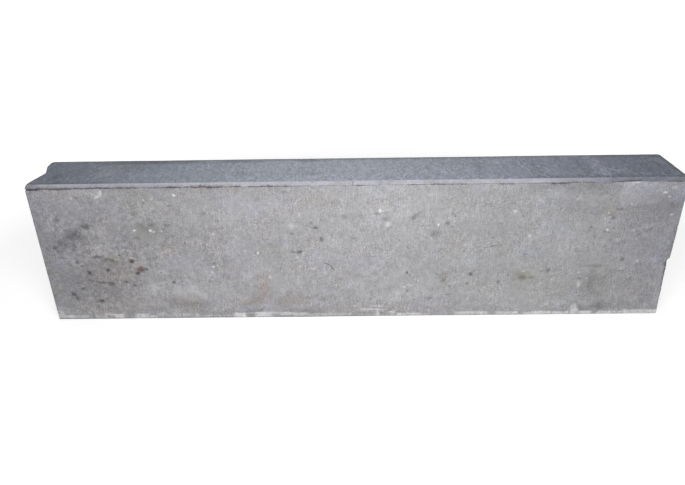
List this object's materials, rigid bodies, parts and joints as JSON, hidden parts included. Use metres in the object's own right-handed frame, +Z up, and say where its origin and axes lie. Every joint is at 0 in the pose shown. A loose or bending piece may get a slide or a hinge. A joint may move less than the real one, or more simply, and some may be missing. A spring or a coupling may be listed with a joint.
{
  "type": "concrete kerb stone",
  "caption": "Straight pressed concrete kerb with a bevelled top front edge, a plain end and an end with a full-height joint groove.",
  "frame": {"origin": "centre of the bounding box on the plane of the base", "axes": "+X along the kerb towards its plain end, +Y from the front face to the back face, +Z up"},
  "size_m": [1, 0.107, 0.242],
  "materials": {
    "concrete": "matte"
  },
  "bodies": {
    "root": {"kerb_stone": "concrete"}
  },
  "joints": []
}
